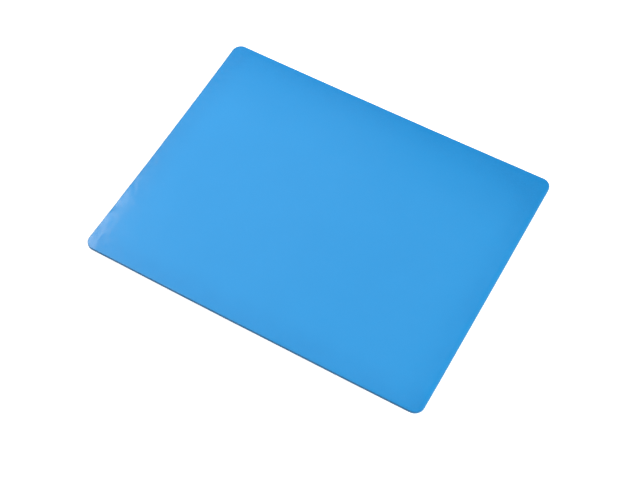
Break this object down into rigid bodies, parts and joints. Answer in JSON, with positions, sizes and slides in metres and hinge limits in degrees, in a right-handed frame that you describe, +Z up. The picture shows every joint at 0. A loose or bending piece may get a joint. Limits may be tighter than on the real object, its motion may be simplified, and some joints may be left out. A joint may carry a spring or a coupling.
{
  "type": "anti static bench mat",
  "caption": "Thin flat blue rubber mat with rounded corners and a lightly grained face, laid on a workbench to drain static charge from electronics being tested or repaired.",
  "frame": {"origin": "centre of the underside, on the bench top", "axes": "+X along the long sides, +Y along the short sides, +Z up out of the bench top, through the work face"},
  "size_m": [0.45, 0.35, 0.004],
  "materials": {
    "mat_rubber": "satin, with a fine pebbled grain on the top face"
  },
  "bodies": {
    "root": {"mat": "mat_rubber"}
  },
  "joints": []
}
